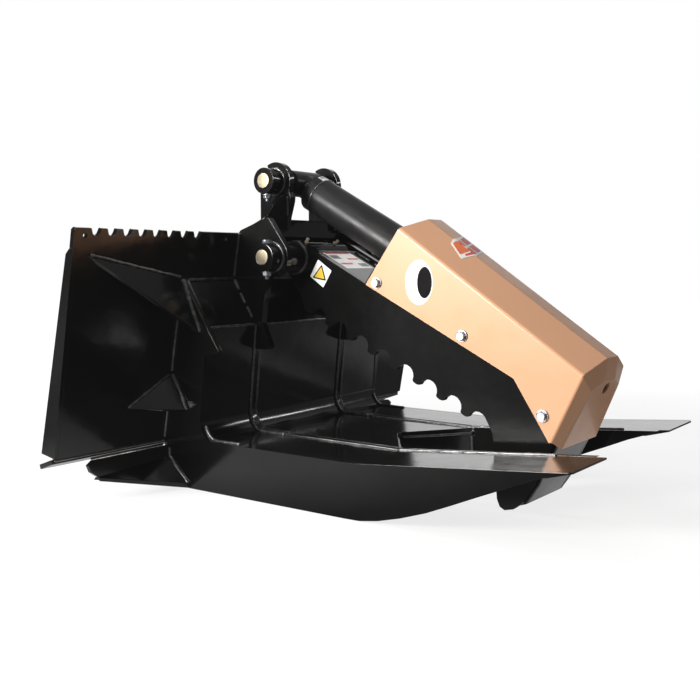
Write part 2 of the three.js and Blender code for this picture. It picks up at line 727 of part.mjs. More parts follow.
// ---------------------------------------------------------------- grease nipples
function greaseNipple(y, tilt) {
  const [px, pz] = LOWER_PIN;
  const a = 62 * Math.PI / 180;
  const r = 33 + GAP;
  const base = [px + r * Math.cos(a), y, pz + r * Math.sin(a)];
  const dir = new THREE.Vector3(Math.cos(a), tilt, Math.sin(a)).normalize();
  const at = (d) => [base[0] + dir.x * d, base[1] + dir.y * d, base[2] + dir.z * d];
  const foot = rod3([base[0], y, base[2]], [px + (r + 5) * Math.cos(a), y, pz + (r + 5) * Math.sin(a)], 5, 6);
  const stem = rod3(at(2), at(10), 2.8, 12);
  const ball = rod3(at(9), at(12.5), 3.6, 12);
  return foot.add(stem).add(ball);
}

part('grease_nipple_straight', greaseNipple(-69, 0), BRASS);
part('grease_nipple_angled', greaseNipple(30, 0.9), BRASS);

// ---------------------------------------------------------------- cylinder
const AXIS = [Math.cos(CYLINDER_DROP), -Math.sin(CYLINDER_DROP)];
const PORTS = [92, 264]; // hydraulic ports, measured from the upper pin

function alongCylinder(s) {
  return [UPPER_PIN[0] + AXIS[0] * s, 0, UPPER_PIN[1] + AXIS[1] * s];
}

function axial(s0, s1, radius, segments = 32) {
  return rod3(alongCylinder(s0), alongCylinder(s1), radius, segments);
}

function barrelTube() {
  let body = axial(64, BARREL_LENGTH - 14, BARREL_R, 36);
  for (const s of PORTS) {
    const [x, , z] = alongCylinder(s);
    body = body.add(rod3([x, 30, z - 18], [x, 47, z - 28], 11, 20));
  }
  body = body.subtract(axial(50, BARREL_LENGTH, 35, 36));
  for (const s of PORTS) {
    const [x, , z] = alongCylinder(s);
    body = body.subtract(rod3([x, 20, z - 12], [x, 60, z - 35.6], 5.5, 16));
  }
  return body;
}

function barrelBase() {
  const eye = crossRod(UPPER_PIN, -46, 46, 28, 32);
  const neck = axial(10, 44, 26);
  const cap = axial(40, 64 - GAP, BARREL_R);
  const step = axial(60, 78, 34.7);
  const bore = crossRod(UPPER_PIN, -60, 60, PIN_R + 0.4, 28);
  return eye.add(neck).add(cap).add(step).subtract(bore);
}

function gland() {
  const ring = axial(BARREL_LENGTH - 14 + GAP, BARREL_LENGTH, 42.5, 36);
  const step = axial(BARREL_LENGTH - 40, BARREL_LENGTH - 10, 34.7, 36);
  return ring.add(step).subtract(axial(BARREL_LENGTH - 60, BARREL_LENGTH + 20, ROD_R + 0.4, 32));
}

function rodEye() {
  const [px, pz] = ROD_PIN;
  const eye = crossRod(ROD_PIN, -22, 22, 30, 32);
  const neck = axial(CYLINDER_LENGTH - EYE_NECK, CYLINDER_LENGTH - 20, 22);
  return eye.add(neck).subtract(crossRod([px, pz], -30, 30, ROD_PIN_R + ROD_EYE_PLAY, 32));
}

part('barrel_tube', barrelTube(), BLACK);
part('barrel_base', barrelBase(), BLACK);
part('gland', gland(), BLACK);
part('rod', axial(BARREL_LENGTH - 64, CYLINDER_LENGTH - EYE_NECK - GAP, ROD_R, 32), CHROME);
part('piston', axial(BARREL_LENGTH - 92, BARREL_LENGTH - 64 - GAP, 34.6, 36), ZINC);
part('rod_eye', rodEye(), BLACK);

// ---------------------------------------------------------------- assembly
const group = new THREE.Group();
group.name = 'tree_puller';
for (const [name, body, look] of parts) {
  const geometry = geometryOf(body);
  geometry.translate(-(REAR_X + TIP_X) / 2, 0, GROUND);
  const flat = geometry.toNonIndexed();
  flat.computeVertexNormals();
  const mesh = new THREE.Mesh(flat, look);
  mesh.name = name;
  group.add(mesh);
}

export default group;
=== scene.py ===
import math
import random

import bmesh
import bpy
from mathutils import Matrix, Vector


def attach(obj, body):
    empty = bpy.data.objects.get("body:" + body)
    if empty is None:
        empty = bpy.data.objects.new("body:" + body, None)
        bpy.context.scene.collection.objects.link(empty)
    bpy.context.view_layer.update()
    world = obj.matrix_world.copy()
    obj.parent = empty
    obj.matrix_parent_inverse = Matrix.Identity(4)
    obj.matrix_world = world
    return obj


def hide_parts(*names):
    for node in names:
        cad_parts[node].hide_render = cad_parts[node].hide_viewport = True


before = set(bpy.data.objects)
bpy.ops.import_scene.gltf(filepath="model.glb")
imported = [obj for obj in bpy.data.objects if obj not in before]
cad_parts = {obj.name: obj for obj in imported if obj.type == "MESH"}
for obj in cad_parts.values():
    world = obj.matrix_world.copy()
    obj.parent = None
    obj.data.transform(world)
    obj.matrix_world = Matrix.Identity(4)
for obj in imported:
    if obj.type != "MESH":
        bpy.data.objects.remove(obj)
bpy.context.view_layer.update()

# ------------------------------------------------------------------ driving dimensions
# Drawn in millimetres from the lower front edge of the mounting plate, as the CAD is.
SHIFT = Vector((-0.419, 0.0, 0.094))
PLATE_LEAN = math.radians(10.2)
KEEL_Y = 307
INNER_Y = 157
KEEL_T = 12
INNER_T = 15
CENTER_Y = INNER_Y - INNER_T
FLOOR_Z = 8
BREAK_X = 480
TIP = (888, 44)
LOWER_PIN = (170, 372)
UPPER_PIN = (119, 532)
DROP = math.radians(28.5)
BEND = [(121, 232), (114, 160), (103, 48), (105.5, 36), (110, 25), (117, 16), (125, 10.5), (135, 8)]
PORTS = (92, 264)
BARREL_R = 40
ARM_Y = 88
COVER_Y = 96
COVER_T = 4
COVER_BOLTS = [(386, 322), (579, 226), (744, 91)]
SIDES = (("near", -1), ("far", 1))


def at(x, y, z):
    """A drawing point in the object's frame, in metres."""
    return Vector((x, y, z)) / 1000 + SHIFT


def plate_x(z):
    return z * math.tan(PLATE_LEAN)


def fork_z(x):
    """Height of the top of the floor and forks at x."""
    if x < BREAK_X:
        return FLOOR_Z
    return FLOOR_Z + (TIP[1] - FLOOR_Z) * (x - BREAK_X) / (TIP[0] - BREAK_X)


# ------------------------------------------------------------------ node helpers
def shader(name):
    material = bpy.data.materials.new(name)
    material.use_nodes = True
    tree = material.node_tree
    tree.nodes.clear()
    out = tree.nodes.new("ShaderNodeOutputMaterial")
    bsdf = tree.nodes.new("ShaderNodeBsdfPrincipled")
    tree.links.new(bsdf.outputs["BSDF"], out.inputs["Surface"])
    return material, tree, bsdf


def noise(tree, scale, detail=2.0, rough=0.5, distort=0.0):
    where = tree.nodes.new("ShaderNodeTexCoord")
    n = tree.nodes.new("ShaderNodeTexNoise")
    n.inputs["Scale"].default_value = scale
    n.inputs["Detail"].default_value = detail
    n.inputs["Roughness"].default_value = rough
    n.inputs["Distortion"].default_value = distort
    tree.links.new(where.outputs["Object"], n.inputs["Vector"])
    return n.outputs["Fac"]


def span(tree, value, low, high, out_low, out_high):
    """Maps value from low..high onto out_low..out_high, clamped."""
    n = tree.nodes.new("ShaderNodeMapRange")
    n.inputs["From Min"].default_value = low
    n.inputs["From Max"].default_value = high
    n.inputs["To Min"].default_value = out_low
    n.inputs["To Max"].default_value = out_high
    tree.links.new(value, n.inputs["Value"])
    return n.outputs["Result"]


def math_node(tree, kind, a, b):
    n = tree.nodes.new("ShaderNodeMath")
    n.operation = kind
    for socket, value in zip(n.inputs, (a, b)):
        if isinstance(value, (int, float)):
            socket.default_value = value
        else:
            tree.links.new(value, socket)
    return n.outputs[0]


def blend_colour(tree, factor, a, b):
    n = tree.nodes.new("ShaderNodeMix")
    n.data_type = "RGBA"
    tree.links.new(factor, n.inputs[0])
    for socket, value in ((n.inputs[6], a), (n.inputs[7], b)):
        if isinstance(value, tuple):
            socket.default_value = (*value, 1.0)
        else:
            tree.links.new(value, socket)
    return n.outputs[2]


def bump(tree, height, distance, strength=1.0, under=None):
    n = tree.nodes.new("ShaderNodeBump")
    n.inputs["Strength"].default_value = strength
    n.inputs["Distance"].default_value = distance
    tree.links.new(height, n.inputs["Height"])
    if under is not None:
        tree.links.new(under, n.inputs["Normal"])
    return n.outputs["Normal"]


# ------------------------------------------------------------------ materials
def paint(name, colour, tint, rough, wave=0.0006, peel=0.00002, dust=0.05,
          dust_colour=(0.2, 0.18, 0.16), shine=0.5, coat=0.0):
    """Sprayed paint: sheet waviness, orange peel, uneven gloss and a little dust."""
    material, tree, bsdf = shader(name)
    broad = noise(tree, 5.0, 4.0, 0.6)
    body = blend_colour(tree, span(tree, broad, 0.35, 0.7, 0.0, 1.0), colour, tint)
    patches = noise(tree, 9.0, 6.0, 0.65, 0.4)
    film = span(tree, patches, 0.48, 0.75, 0.0, dust)
    speck = span(tree, noise(tree, 420.0, 2.0, 0.6), 0.66, 0.72, 0.0, dust * 1.5)
    film = math_node(tree, "ADD", film, speck)
    tree.links.new(blend_colour(tree, film, body, dust_colour), bsdf.inputs["Base Color"])
    gloss = span(tree, noise(tree, 22.0, 5.0, 0.6), 0.3, 0.7, rough * 0.8, rough * 1.25)
    tree.links.new(math_node(tree, "ADD", gloss, film), bsdf.inputs["Roughness"])
    sheet = bump(tree, noise(tree, 13.0, 3.0, 0.45), wave)
    skin = bump(tree, noise(tree, 300.0, 2.0, 0.5), peel, 1.0, sheet)
    tree.links.new(skin, bsdf.inputs["Normal"])
    bsdf.inputs["IOR"].default_value = 1.5
    bsdf.inputs["Specular IOR Level"].default_value = shine
    bsdf.inputs["Coat Weight"].default_value = coat
    bsdf.inputs["Coat Roughness"].default_value = 0.1
    return material


def weld_paint(name, colour, rough):
    """Painted weld metal: ripples are in the mesh, spatter and pits are in the bump."""
    material, tree, bsdf = shader(name)
    grain = noise(tree, 160.0, 4.0, 0.7)
    light = tuple(min(1.0, c * 2.6 + 0.012) for c in colour)
    tree.links.new(
        blend_colour(tree, span(tree, grain, 0.45, 0.75, 0.0, 1.0), colour, light),
        bsdf.inputs["Base Color"])
    tree.links.new(
        span(tree, noise(tree, 60.0, 3.0), 0.3, 0.7, rough * 0.7, rough * 1.5), bsdf.inputs["Roughness"])
    pits = bump(tree, grain, 0.0004, 0.6)
    tree.links.new(bump(tree, noise(tree, 700.0, 2.0), 0.00006, 0.5, pits), bsdf.inputs["Normal"])
    bsdf.inputs["Specular IOR Level"].default_value = 0.9
    bsdf.inputs["Coat Weight"].default_value = 1.0
    bsdf.inputs["Coat IOR"].default_value = 1.7
    bsdf.inputs["Coat Roughness"].default_value = 0.28
    return material


def metal(name, colour, tint, rough, scale=180.0, dirt=0.25, metallic=1.0):
    """Plated or bare metal with fine scratches, cloudy plating and grime."""
    material, tree, bsdf = shader(name)
    cloud = noise(tree, 70.0, 4.0, 0.65)
    plated = blend_colour(tree, span(tree, cloud, 0.35, 0.7, 0.0, 1.0), colour, tint)
    grime = span(tree, noise(tree, 110.0, 5.0, 0.7, 0.5), 0.58, 0.75, 0.0, dirt)
    dark = tuple(c * 0.25 for c in colour)
    tree.links.new(blend_colour(tree, grime, plated, dark), bsdf.inputs["Base Color"])
    bsdf.inputs["Metallic"].default_value = metallic
    gloss = span(tree, noise(tree, scale, 3.0, 0.6), 0.3, 0.7, rough * 0.7, rough * 1.4)
    tree.links.new(math_node(tree, "ADD", gloss, math_node(tree, "MULTIPLY", grime, 0.5)),
                   bsdf.inputs["Roughness"])
    fine = noise(tree, scale * 2.5)
    tree.links.new(bump(tree, fine, 0.00003, 0.6), bsdf.inputs["Normal"])
    return material


def vinyl(name, colour, tint, rough=0.32, shine=0.5, glow=0.0):
    """A printed sticker: slight colour drift, soft gloss and a few tiny bubbles; glow is painted light,
    an emission in the sticker's own colour that makes it look lit where it lies in shade.
    """
    material, tree, bsdf = shader(name)
    drift = span(tree, noise(tree, 30.0, 3.0), 0.35, 0.7, 0.0, 1.0)
    tree.links.new(blend_colour(tree, drift, colour, tint), bsdf.inputs["Base Color"])
    tree.links.new(
        span(tree, noise(tree, 90.0, 4.0), 0.3, 0.7, rough * 0.8, rough * 1.3), bsdf.inputs["Roughness"])
    bubbles = span(tree, noise(tree, 260.0, 1.0), 0.7, 0.8, 0.0, 1.0)
    tree.links.new(bump(tree, bubbles, 0.00003, 0.4), bsdf.inputs["Normal"])
    bsdf.inputs["Specular IOR Level"].default_value = shine
    bsdf.inputs["Emission Color"].default_value = (*colour, 1)
    bsdf.inputs["Emission Strength"].default_value = glow
    return material


BLACK = paint("black_gloss_paint", (0.0020, 0.0020, 0.0021), (0.0036, 0.0034, 0.0033), 0.13, dust=0.004)
CYLINDER = paint(
    "black_cylinder_paint", (0.009, 0.009, 0.01), (0.015, 0.015, 0.016), 0.34, wave=0.0003, shine=0.25)
TAN = paint(
    "tan_paint", (0.66, 0.345, 0.19), (0.68, 0.36, 0.20), 0.34, wave=0.0004, peel=0.00003,
    dust=0.02, dust_colour=(0.5, 0.42, 0.34), shine=0.4, coat=0.25)
WELD = weld_paint("painted_weld", (0.012, 0.012, 0.0125), 0.24)
ZINC = metal("zinc_plate", (0.38, 0.41, 0.46), (0.50, 0.52, 0.55), 0.42)
PIN = metal("yellow_zinc_pin", (0.29, 0.26, 0.19), (0.23, 0.19, 0.125), 0.38, scale=320.0)
CHROME = metal("chrome_rod", (0.80, 0.81, 0.83), (0.76, 0.77, 0.80), 0.09, scale=500.0, dirt=0.08)
BRASS = metal("nipple_plate", (0.80, 0.74, 0.60), (0.72, 0.62, 0.42), 0.38, metallic=0.3)
WHITE_VINYL = vinyl("white_vinyl", (0.86, 0.86, 0.84), (0.80, 0.80, 0.78))
# the top card's white and red stickers glow: painted light that makes the card look lit though it lies
# in the cylinder's shade
CARD_WHITE_GLOWING = vinyl("card_white_vinyl_painted_glow", (0.86, 0.86, 0.84), (0.82, 0.82, 0.80), glow=0.35)
CARD_RED_GLOWING = vinyl("card_red_vinyl_painted_glow", (0.62, 0.08, 0.06), (0.55, 0.07, 0.05), glow=0.35)
DARK_VINYL = vinyl("dark_vinyl", (0.008, 0.007, 0.008), (0.011, 0.010, 0.011), rough=0.6, shine=0.02)
RED_VINYL = vinyl("red_vinyl", (0.62, 0.075, 0.05), (0.55, 0.06, 0.045))
ORANGE_VINYL = vinyl("orange_vinyl", (0.75, 0.16, 0.05), (0.68, 0.13, 0.045))
YELLOW_VINYL = vinyl("yellow_vinyl", (0.82, 0.56, 0.03), (0.76, 0.50, 0.03))
GREY_VINYL = vinyl("grey_vinyl", (0.25, 0.25, 0.26), (0.32, 0.32, 0.33))


# ------------------------------------------------------------------ smooth edges on CAD nodes
def smooth_by_angle(degrees):
    group = bpy.data.node_groups.new("smooth_by_angle", "GeometryNodeTree")
    group.interface.new_socket("Geometry", in_out="INPUT", socket_type="NodeSocketGeometry")
    group.interface.new_socket("Geometry", in_out="OUTPUT", socket_type="NodeSocketGeometry")
    start = group.nodes.new("NodeGroupInput")
    end = group.nodes.new("NodeGroupOutput")
    faces = group.nodes.new("GeometryNodeSetShadeSmooth")
    faces.domain = "FACE"
    edges = group.nodes.new("GeometryNodeSetShadeSmooth")
    edges.domain = "EDGE"
    edges.inputs["Shade Smooth"].default_value = False
    angle = group.nodes.new("GeometryNodeInputMeshEdgeAngle")
    sharp = group.nodes.new("FunctionNodeCompare")
    sharp.operation = "GREATER_THAN"
    sharp.inputs[1].default_value = math.radians(degrees)
    group.links.new(angle.outputs["Unsigned Angle"], sharp.inputs[0])
    group.links.new(sharp.outputs[0], edges.inputs["Selection"])
    group.links.new(start.outputs[0], faces.inputs["Geometry"])
    group.links.new(faces.outputs["Geometry"], edges.inputs["Geometry"])
    group.links.new(edges.outputs["Geometry"], end.inputs[0])
    return group


SMOOTH = smooth_by_angle(36)
MERGE = 0.00002  # metres, joins the split corners of a CAD mesh
BEVEL_ANGLE = math.radians(28)


def soften(obj, width, weld=False):
    """Edges rounded to width in millimetres and clean shading, all as modifiers."""
    if weld:
        joined = obj.modifiers.new("joined", "WELD")
        joined.merge_threshold = MERGE
    if width > 0:
        edge = obj.modifiers.new("edge", "BEVEL")
        edge.width = width / 1000
        edge.segments = 2
        edge.limit_method = "ANGLE"
        edge.angle_limit = BEVEL_ANGLE
    smooth = obj.modifiers.new("smooth", "NODES")
    smooth.node_group = SMOOTH
    normals = obj.modifiers.new("normals", "WEIGHTED_NORMAL")
    normals.keep_sharp = True
    normals.weight = 60


# What each CAD node looks like: start of its name, material, edge rounding in millimetres.
LOOKS = [
    ("grease_nipple", BRASS, 0.3), ("guard_cover", TAN, 0.0), ("cover_bolt", ZINC, 0.0),
    ("lower_pin_bolt", ZINC, 0.5), ("upper_pin_bolt", ZINC, 0.5),
    ("lower_pin", PIN, 1.4), ("upper_pin", PIN, 1.4), ("rod_end_pin", PIN, 1.2),
    ("rod_eye", CYLINDER, 0.8), ("rod", CHROME, 0.6), ("piston", CHROME, 0.4),
    ("gland", CYLINDER, 0.9), ("barrel", CYLINDER, 0.9),
    ("lower_boss", BLACK, 1.6), ("upper_boss", BLACK, 1.6), ("pivot_tube", BLACK, 1.0),
    ("", BLACK, 0.9),
]
for name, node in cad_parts.items():
    look, width = next((m, w) for start, m, w in LOOKS if name.startswith(start))
    for material_slot in node.material_slots:
        material_slot.material = look
    soften(node, width, weld=True)


# ------------------------------------------------------------------ mesh helpers
def new_piece(name, mesh, body, material):
    obj = bpy.data.objects.new(name, mesh)
    bpy.context.scene.collection.objects.link(obj)
    materials = material if isinstance(material, (list, tuple)) else [material]
    for m in materials:
        mesh.materials.append(m)
    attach(obj, body)
    return obj


def baked(obj):
    """The object's mesh with its modifiers applied."""
    depsgraph = bpy.context.evaluated_depsgraph_get()
    return bpy.data.meshes.new_from_object(obj.evaluated_get(depsgraph))


def resample(points, step):
    """Points at even steps along a polyline, in metres."""
    lengths = [0.0]
    for a, b in zip(points, points[1:]):
        lengths.append(lengths[-1] + (b - a).length)
    count = max(2, int(lengths[-1] / step))
    found = []
    k = 0
    for i in range(count + 1):
        s = lengths[-1] * i / count
        while k < len(points) - 2 and lengths[k + 1] < s:
            k += 1
        t = (s - lengths[k]) / max(1e-9, lengths[k + 1] - lengths[k])
        found.append(points[k].lerp(points[k + 1], t))
    return found


class Beads:
    """Weld beads gathered in one mesh: each is a rippled, uneven rope of weld metal."""

    RING = 8  # points round a bead
    STEP = 0.0016  # metres between rings
    RIPPLE = 0.0042  # metres between ripples
    SLOW = 9  # rings between changes of width
    SWAY = 12  # rings between changes of line

    def __init__(self, seed):
        self.bm = bmesh.new()
        self.random = random.Random(seed)

    def run(self, points, radius=3.2, closed=False):
        """A bead along drawing points; radius in millimetres."""
        path = resample([at(*p) for p in points], self.STEP)
        r = radius / 1000
        draw = self.random
        period = self.RIPPLE * draw.uniform(0.9, 1.15)
        phase = draw.uniform(0, 1)
        slow = [draw.uniform(-1, 1) for _ in range(len(path) // self.SLOW + 3)]
        turns = len(path) // self.SWAY + 3
        sway = [Vector([draw.uniform(-1, 1) for _ in range(3)]) for _ in range(turns)]
        up = None
        rings = []
        for i, p in enumerate(path):
            ahead = path[min(i + 1, len(path) - 1)] - path[max(i - 1, 0)]
            if closed and i in (0, len(path) - 1):
                ahead = path[1] - path[-2]
            ahead.normalize()
            if up is None:
                up = ahead.orthogonal().normalized()
            up = (up - ahead * up.dot(ahead)).normalized()
            side = ahead.cross(up)
            ripple = (i * self.STEP / period + phase) % 1.0
            k, t = divmod(i / self.SLOW, 1)
            wide = slow[int(k)] * (1 - t) + slow[int(k) + 1] * t
            k, t = divmod(i / self.SWAY, 1)
            drift = sway[int(k)].lerp(sway[int(k) + 1], t) * r * 0.14
            size = r * (0.86 + 0.2 * math.sqrt(1 - ripple) + 0.12 * wide)
            if not closed:
                ends = min(i, len(path) - 1 - i) * self.STEP / (r * 0.8)
                if ends < 1:
                    size *= max(0.25, math.sqrt(max(0.0, 1 - (1 - ends) ** 2)))
            ring = []
            for j in range(self.RING):
                a = 2 * math.pi * j / self.RING
                jitter = 1 + 0.05 * draw.uniform(-1, 1)
                offset = (up * math.cos(a) + side * math.sin(a)) * size * jitter
                ring.append(self.bm.verts.new(p + drift + offset))
            rings.append(ring)
        for a, b in zip(rings, rings[1:]):
            for j in range(self.RING):
                k = (j + 1) % self.RING
                self.bm.faces.new((a[j], a[k], b[k], b[j]))
        self.bm.faces.new(list(reversed(rings[0])))
        self.bm.faces.new(rings[-1])

    def stitch(self, points, radius, bead, pitch):
        """Short beads at even spacing along a polyline; lengths in millimetres."""
        step = 2
        path = resample([at(*p) for p in points], step / 1000)
        per = int(pitch / step)
        long = int(bead / step)
        for start in range(0, max(1, len(path) - long), per):
            part = path[start:start + long + 1]
            self.run([tuple((p - SHIFT) * 1000) for p in part], radius)

    def circle(self, centre, normal, r, radius):
        """A bead of that radius round a tube of radius r, in millimetres."""
        n = Vector(normal).normalized()
        u = n.orthogonal().normalized()
        v = n.cross(u)
        c = Vector(centre)
        count = 48
        points = []
        for i in range(count + 1):
            a = 2 * math.pi * i / count
            points.append(tuple(c + (u * math.cos(a) + v * math.sin(a)) * r))
        self.run(points, radius, closed=True)

    def finish(self, name, body):
        bmesh.ops.recalc_face_normals(self.bm, faces=self.bm.faces)
        mesh = bpy.data.meshes.new(name)
        self.bm.to_mesh(mesh)
        self.bm.free()
        for polygon in mesh.polygons:
            polygon.use_smooth = True
        new_piece(name, mesh, body, WELD)


# ------------------------------------------------------------------ weld beads on the frame
FRAME_SEEDS = {"near": 11, "far": 12}
MIDDLE_SEED = 21
ARM_SEED = 31
BARREL_SEED = 41
PANEL_TOP = (62, 328)
PANEL_FOOT = (121.5, 233.5)
PANEL_SEAM = [(62, 327), (90, 280), (119, 235)]
BEAM_SEAM = [(84, 430), (110, 441.5), (134, 453)]


def frame_welds(side_name, s):
    """The beads on one side of the frame; s is -1 for near and 1 for far."""
    outside = KEEL_Y + 1.2
    inside = KEEL_Y - KEEL_T - 1
    inner = INNER_Y + 1
    center = CENTER_Y - 1
    beads = Beads(FRAME_SEEDS[side_name])

    def run(points, y, radius):
        beads.run([(x, s * y, z) for x, z in points], radius)

    def across(x, ys, z, radius):
        beads.run([(x, s * y, z) for y in ys], radius)

    def plate(*heights):
        return [(plate_x(z) + 2, z) for z in heights]

    # upper gusset: along the keel, and along the plate
    run([(62, 329), (80, 290), (95, 257), (109, 225)], outside, 5.2)
    beads.run([(70.5, s * 540, 376), (66, s * 430, 355), (62, s * 312, 333)], 3.0)
    # lower gusset: along the keel, and along the plate
    run([(29, 136), (49, 103), (71, 67)], outside, 4.8)
    beads.run([(26.5, s * 312, 137), (16.5, s * 414, 79)], 2.8)
    # outer keel to the plate
    run(plate(322, 250, 180, 142), outside, 2.8)
    run(plate(66, 40, 4), outside, 2.8)
    run(plate(300, 200, 60), inside, 3.0)
    # inner keel to the plate above the sloping panel
    run(plate(424, 380, 331), inner, 3.0)
    run(plate(414, 380, 331), center, 3.0)
    # sloping panel to keels
    beads.stitch([(x, s * inner, z) for x, z in PANEL_SEAM], 3.6, 26, 34)
    run(PANEL_SEAM, inside, 3.2)
    run(PANEL_SEAM, center, 3.2)
    # wall, bend, floor and fork along the keels
    line = [(x + 1.5, z + (1.0 if x > 104 else 0)) for x, z in BEND]
    floor_line = [(x, fork_z(x) + 1) for x in (140, 200, 300, 400, 480)]
    fork_line = [(x, fork_z(x) + 1) for x in (480, 600, 700, 800)]
    bend_line = line[3:] + floor_line[:2]
    run(bend_line, inner, 3.4)
    run(line[:4], inner, 2.7)
    run(floor_line[1:], inner, 1.7)
    run(fork_line, inner, 2.4)
    run(bend_line, inside, 3.2)
    run(bend_line, center, 3.4)
    run(line[:4], center, 2.7)
    run(floor_line[1:], center, 1.7)
    # notch wall to the inner keel and under the floor
    run([(473, -8), (473, -84)], CENTER_Y - 2, 3.6)
    beads.run([(380, s * 9, -3), (474, s * 140, -3)], 3.0)
    # heel bracket to the keel
    run([(17, -14), (17, -34), (44, -60), (70, -84)], outside, 3.4)
    across(3.0, (312, 400, 498), -10, 2.6)
    # lower lip to the plate, behind and in front
    across(-9.8, (1, 300, 574), 0.4, 2.5)
    across(-4.4, (1, 300, 574), -2.8, 2.6)
    # bosses, beam and ears
    beads.circle((LOWER_PIN[0], s * (INNER_Y + 1.2), LOWER_PIN[1]), (0, 1, 0), 29.2, 3.2)
    beads.circle((UPPER_PIN[0], s * 91.4, UPPER_PIN[1]), (0, 1, 0), 27.8, 3.0)
    beads.run([(84, s * 140, 430), (110, s * 141, 441), (136, s * 141, 453)], 3.4)
    run(BEAM_SEAM, 91, 3.0)
    run(BEAM_SEAM, 74, 3.0)
    across(141, (94, 138), 452.5, 3.0)
    run([(154, 458), (154, 480), (154, 500)], 91.5, 3.0)
    run([(141, 460), (141, 500)], 91.5, 2.8)
    beads.finish(f"weld_beads_frame_{side_name}", "frame")


def middle_welds():
    """The beads across the middle of the beam and of the sloping panel's two edges."""
    beads = Beads(MIDDLE_SEED)
    beads.run([(84, y, 430.5) for y in (-72, 0, 72)], 3.0)
    for (x, z), radius in ((PANEL_TOP, 3.0), (PANEL_FOOT, 2.8)):
        beads.run([(x, y, z) for y in (-138, 0, 138)], radius)
    for s in (-1, 1):
        for (x, z), radius in ((PANEL_TOP, 3.0), (PANEL_FOOT, 2.8)):
            beads.run([(x, s * y, z) for y in (161, 291)], radius)
    beads.finish("weld_beads_frame_middle", "frame")


for side_name, s in SIDES:
    frame_welds(side_name, s)
middle_welds()


# ------------------------------------------------------------------ weld beads on the arm and cylinder
def arm_welds():
    beads = Beads(ARM_SEED)
    along = Vector((327, -165)).normalized()
    start = Vector((214, 382.5))
    count, pitch, length = 9, 52, 40
    for s in (-1, 1):
        for k in range(count):
            a = start + along * (k * pitch)
            b = a + along * length
            beads.run([(a.x, s * 75, a.y), (b.x, s * 75, b.y)], 2.6)
        beads.circle((LOWER_PIN[0], s * 89.2, LOWER_PIN[1]), (0, 1, 0), 33.6, 3.2)
        nose = [(767, 40), (748, 4), (730, -40), (706, -77)]
        beads.run([(x, s * 74.5, z) for x, z in nose], 2.6)
        lug = [(470, 252.5), (532, 222), (592, 191)]
        beads.run([(x, s * 41, z) for x, z in lug], 3.0)
    beads.run([(212, -74, 383.5), (212, 0, 383.5), (212, 74, 383.5)], 3.0)
    beads.finish("weld_beads_arm", "arm")


def axis_point(distance, lift=0.0, y=0.0):
    """A point along the cylinder, lift above its axis."""
    x = UPPER_PIN[0] + math.cos(DROP) * distance + math.sin(DROP) * lift
    z = UPPER_PIN[1] - math.sin(DROP) * distance + math.cos(DROP) * lift
    return x, y, z


def barrel_welds():
    beads = Beads(BARREL_SEED)
    axis = (math.cos(DROP), 0, -math.sin(DROP))
    beads.circle(axis_point(64.2), axis, 39.4, 2.2)
    beads.circle(axis_point(38.5), axis, 27.0, 2.6)
    for distance in PORTS:
        x, _, z = axis_point(distance)
        beads.circle((x, 38.4, z - 23.0), (0, 17, -10), 11.2, 2.0)
    beads.finish("weld_beads_barrel", "barrel")


arm_welds()
barrel_welds()


# ------------------------------------------------------------------ folded guard cover
SIDE_PROFILE = {"rear_low": (359, 318), "rear_top": (437, 428), "front_top": (819, 168.5),
                "front_low": (761, 45), "heel": (757, 43.5), "foot": (686, 153.5)}
MID_PROFILE = {"mid_rear": (461, 447), "mid_top": (834.5, 193.5)}
MID_Y = 25
FRONT_BENDS = {"brow": (829, 25, 150), "cheek": (822, 64, 137), "chin": (774.5, 80, 31.5)}
FOLD = 5.0
RIM_FOLD = 1.6
PANEL_FOLD = 3.0
HOLE = (823, 0, 136)
HOLE_AXIS = (36, 0, -17)
HOLE_R = 11.5


def cover_sheet():
    """The cover's outer skin, with a fold width stored on each edge."""
    bm = bmesh.new()
    corner = {}
    for s in (-1, 1):
        for key, (x, z) in SIDE_PROFILE.items():
            corner[s, key] = bm.verts.new(at(x, s * COVER_Y, z))
        for key, (x, z) in MID_PROFILE.items():
            corner[s, key] = bm.verts.new(at(x, s * MID_Y, z))
        for key, (x, y, z) in FRONT_BENDS.items():
            corner[s, key] = bm.verts.new(at(x, s * y, z))

    def face(*keys):
        return bm.faces.new([corner[k] for k in keys])

    for s in (-1, 1):
        face(*((s, key) for key in ("rear_low", "foot", "heel", "front_low", "front_top", "rear_top")))
        face((s, "rear_top"), (s, "front_top"), (s, "mid_top"), (s, "mid_rear"))
        face((s, "front_top"), (s, "cheek"), (s, "brow"), (s, "mid_top"))
        face((s, "front_top"), (s, "front_low"), (s, "chin"), (s, "cheek"))
    face((-1, "mid_rear"), (-1, "mid_top"), (1, "mid_top"), (1, "mid_rear"))
    face((-1, "mid_top"), (-1, "brow"), (1, "brow"), (1, "mid_top"))
    face((-1, "brow"), (-1, "cheek"), (-1, "chin"), (1, "chin"), (1, "cheek"), (1, "brow"))
    bmesh.ops.recalc_face_normals(bm, faces=bm.faces)
    if sum(f.normal.z for f in bm.faces) < 0:
        bmesh.ops.reverse_faces(bm, faces=bm.faces)
    fold = bm.edges.layers.float.new("bevel_weight_edge")
    named = {v: key for key, v in corner.items()}
    for edge in bm.edges:
        ends = {named[v][1] for v in edge.verts}
        if len(edge.link_faces) < 2:
            continue
        width = PANEL_FOLD
        if ends == {"rear_top", "front_top"}:
            width = FOLD
        elif ends in ({"front_top", "mid_top"}, {"mid_top"}):
            width = RIM_FOLD
        edge[fold] = width / FOLD
    return bm


